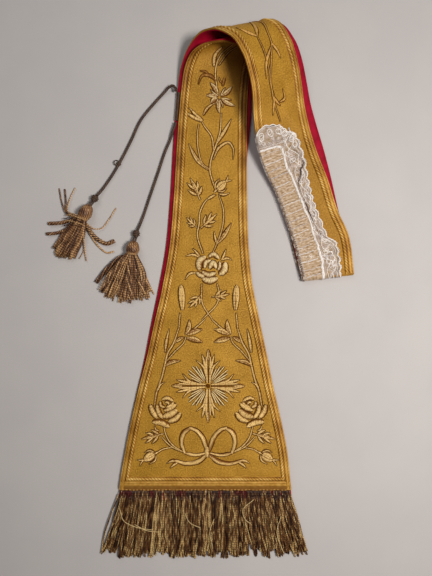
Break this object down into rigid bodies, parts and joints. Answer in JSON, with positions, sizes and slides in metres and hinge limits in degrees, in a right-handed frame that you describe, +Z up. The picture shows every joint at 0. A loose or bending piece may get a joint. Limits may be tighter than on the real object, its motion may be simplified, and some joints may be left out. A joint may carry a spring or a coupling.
{
  "type": "clerical stole",
  "caption": "Embroidered gold clerical stole, lined in red, folded at its lace-guarded neck, its arms laid together and curled over at the top, with fringes and tasselled cords.",
  "frame": {"origin": "on the surface it lies on, under the middle of the stole's footprint, its free cords and tassels left out", "axes": "+Z up, +Y from the fringed hems towards the curl, +X from the left-hand arm towards the right-hand one"},
  "size_m": [0.4317, 0.768, 0.0695],
  "materials": {
    "cloth_of_gold": "old cloth of gold, a fine ribbed weave with a soft metallic sheen",
    "red_lining": "plain red silk, slightly lustrous",
    "gold_braid": "twisted gilt rope braid, couched down",
    "lace": "fine cotton lace and net, matt",
    "bullion": "tarnished gilt bullion, twisted, glinting",
    "brown_silk": "brown silk cord, plied",
    "gold_thread": "pale gilt thread laid in satin stitch over padding, outlined in brown"
  },
  "bodies": {
    "root": {"panel_upper": "cloth_of_gold", "panel_lower": "cloth_of_gold", "lining_upper": "red_lining", "lining_lower": "red_lining", "braid_upper": "gold_braid", "braid_lower_left": "gold_braid", "braid_lower_right": "gold_braid", "lace_guard": "lace", "fringe_upper": "bullion", "fringe_lower": "bullion", "cord_held": "brown_silk", "cord_upper": "brown_silk", "cord_lower": "brown_silk", "tassel_knob_upper": "brown_silk", "tassel_knob_lower": "brown_silk", "tassel_upper": "bullion", "tassel_lower": "bullion", "cross": "gold_thread", "bow": "gold_thread", "rose_left": "gold_thread", "rose_right": "gold_thread", "rose_middle": "gold_thread", "lily": "gold_thread", "bud_low_left": "gold_thread", "bud_low_right": "gold_thread", "bud_upright_left": "gold_thread", "bud_upright_right": "gold_thread", "bud_middle": "gold_thread", "bud_high": "gold_thread", "leaf_left": "gold_thread", "leaf_right": "gold_thread"}
  },
  "joints": []
}
